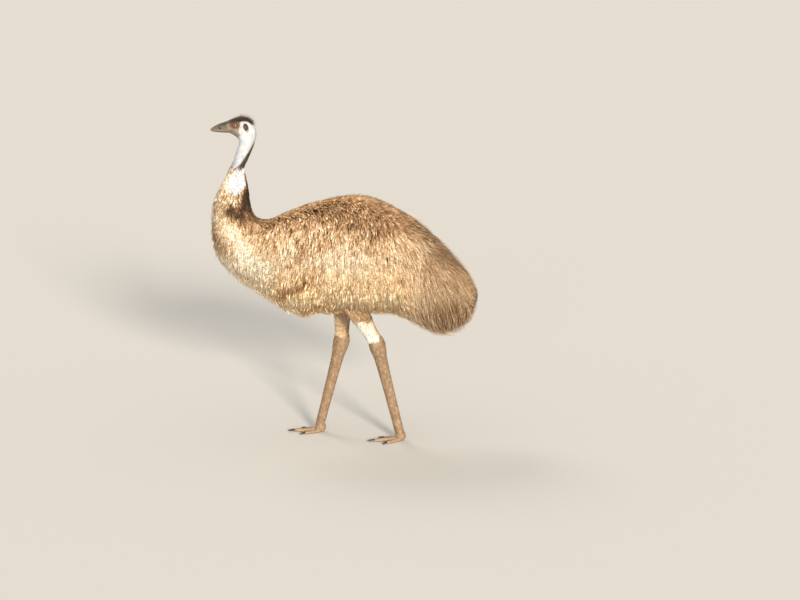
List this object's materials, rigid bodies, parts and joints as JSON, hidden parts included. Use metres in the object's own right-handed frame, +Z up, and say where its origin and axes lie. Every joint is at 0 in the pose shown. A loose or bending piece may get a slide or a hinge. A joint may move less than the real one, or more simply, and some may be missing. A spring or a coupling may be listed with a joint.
{
  "type": "emu",
  "caption": "Life-size standing adult emu, mid-stride with its head up: shaggy rounded body, bare pale neck, broad bill and long scaled legs.",
  "frame": {"origin": "on the floor under the middle of the bounding box", "axes": "+Z up, the bird faces -Y, its left side is towards +X"},
  "size_m": [0.4724, 1.252, 1.5239],
  "materials": {
    "plumage": "loose shaggy feathers, brown with pale streaks",
    "neck_skin": "bare pale blue-white skin with sparse dark bristles",
    "face": "dark short hair-like feathering",
    "bill": "dull dark horn",
    "eye": "wet, orange-brown iris",
    "scales": "dusty tan scutes",
    "claw": "worn dark horn"
  },
  "bodies": {
    "root": {"head": "face", "bill_upper": "bill", "bill_lower": "bill", "eye_left": "eye", "eye_right": "eye", "ear_left": "face", "ear_right": "face", "neck_upper": "neck_skin", "neck_middle": "plumage", "neck_lower": "plumage", "trunk": "plumage", "tail": "plumage", "wing_left": "plumage", "wing_right": "plumage", "left_tarsus": "scales", "left_shank": "plumage", "left_toe_inner": "scales", "left_claw_inner": "claw", "left_toe_middle": "scales", "left_claw_middle": "claw", "left_toe_outer": "scales", "left_claw_outer": "claw", "right_tarsus": "scales", "right_shank": "plumage", "right_toe_inner": "scales", "right_claw_inner": "claw", "right_toe_middle": "scales", "right_claw_middle": "claw", "right_toe_outer": "scales", "right_claw_outer": "claw"}
  },
  "joints": []
}
